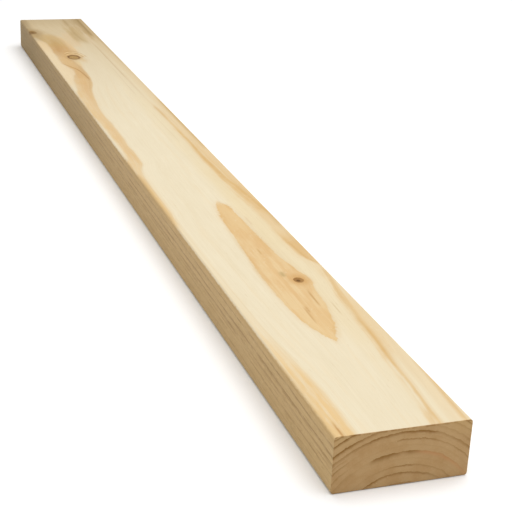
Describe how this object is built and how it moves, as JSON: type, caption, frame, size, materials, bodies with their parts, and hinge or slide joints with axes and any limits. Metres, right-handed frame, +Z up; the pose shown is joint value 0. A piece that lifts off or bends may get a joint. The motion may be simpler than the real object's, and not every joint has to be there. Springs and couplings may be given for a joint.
{
  "type": "timber lumber plank",
  "caption": "Solid softwood dimension-lumber plank with square-sawn ends, eased long edges and visible knots and growth rings.",
  "frame": {"origin": "centre of the wide face the plank lies on", "axes": "+X along the grain and the length, +Y across the wide face, +Z up through the thickness"},
  "size_m": [1.2192, 0.0888, 0.0381],
  "materials": {
    "softwood": "matte"
  },
  "bodies": {
    "root": {"plank": "softwood"}
  },
  "joints": []
}
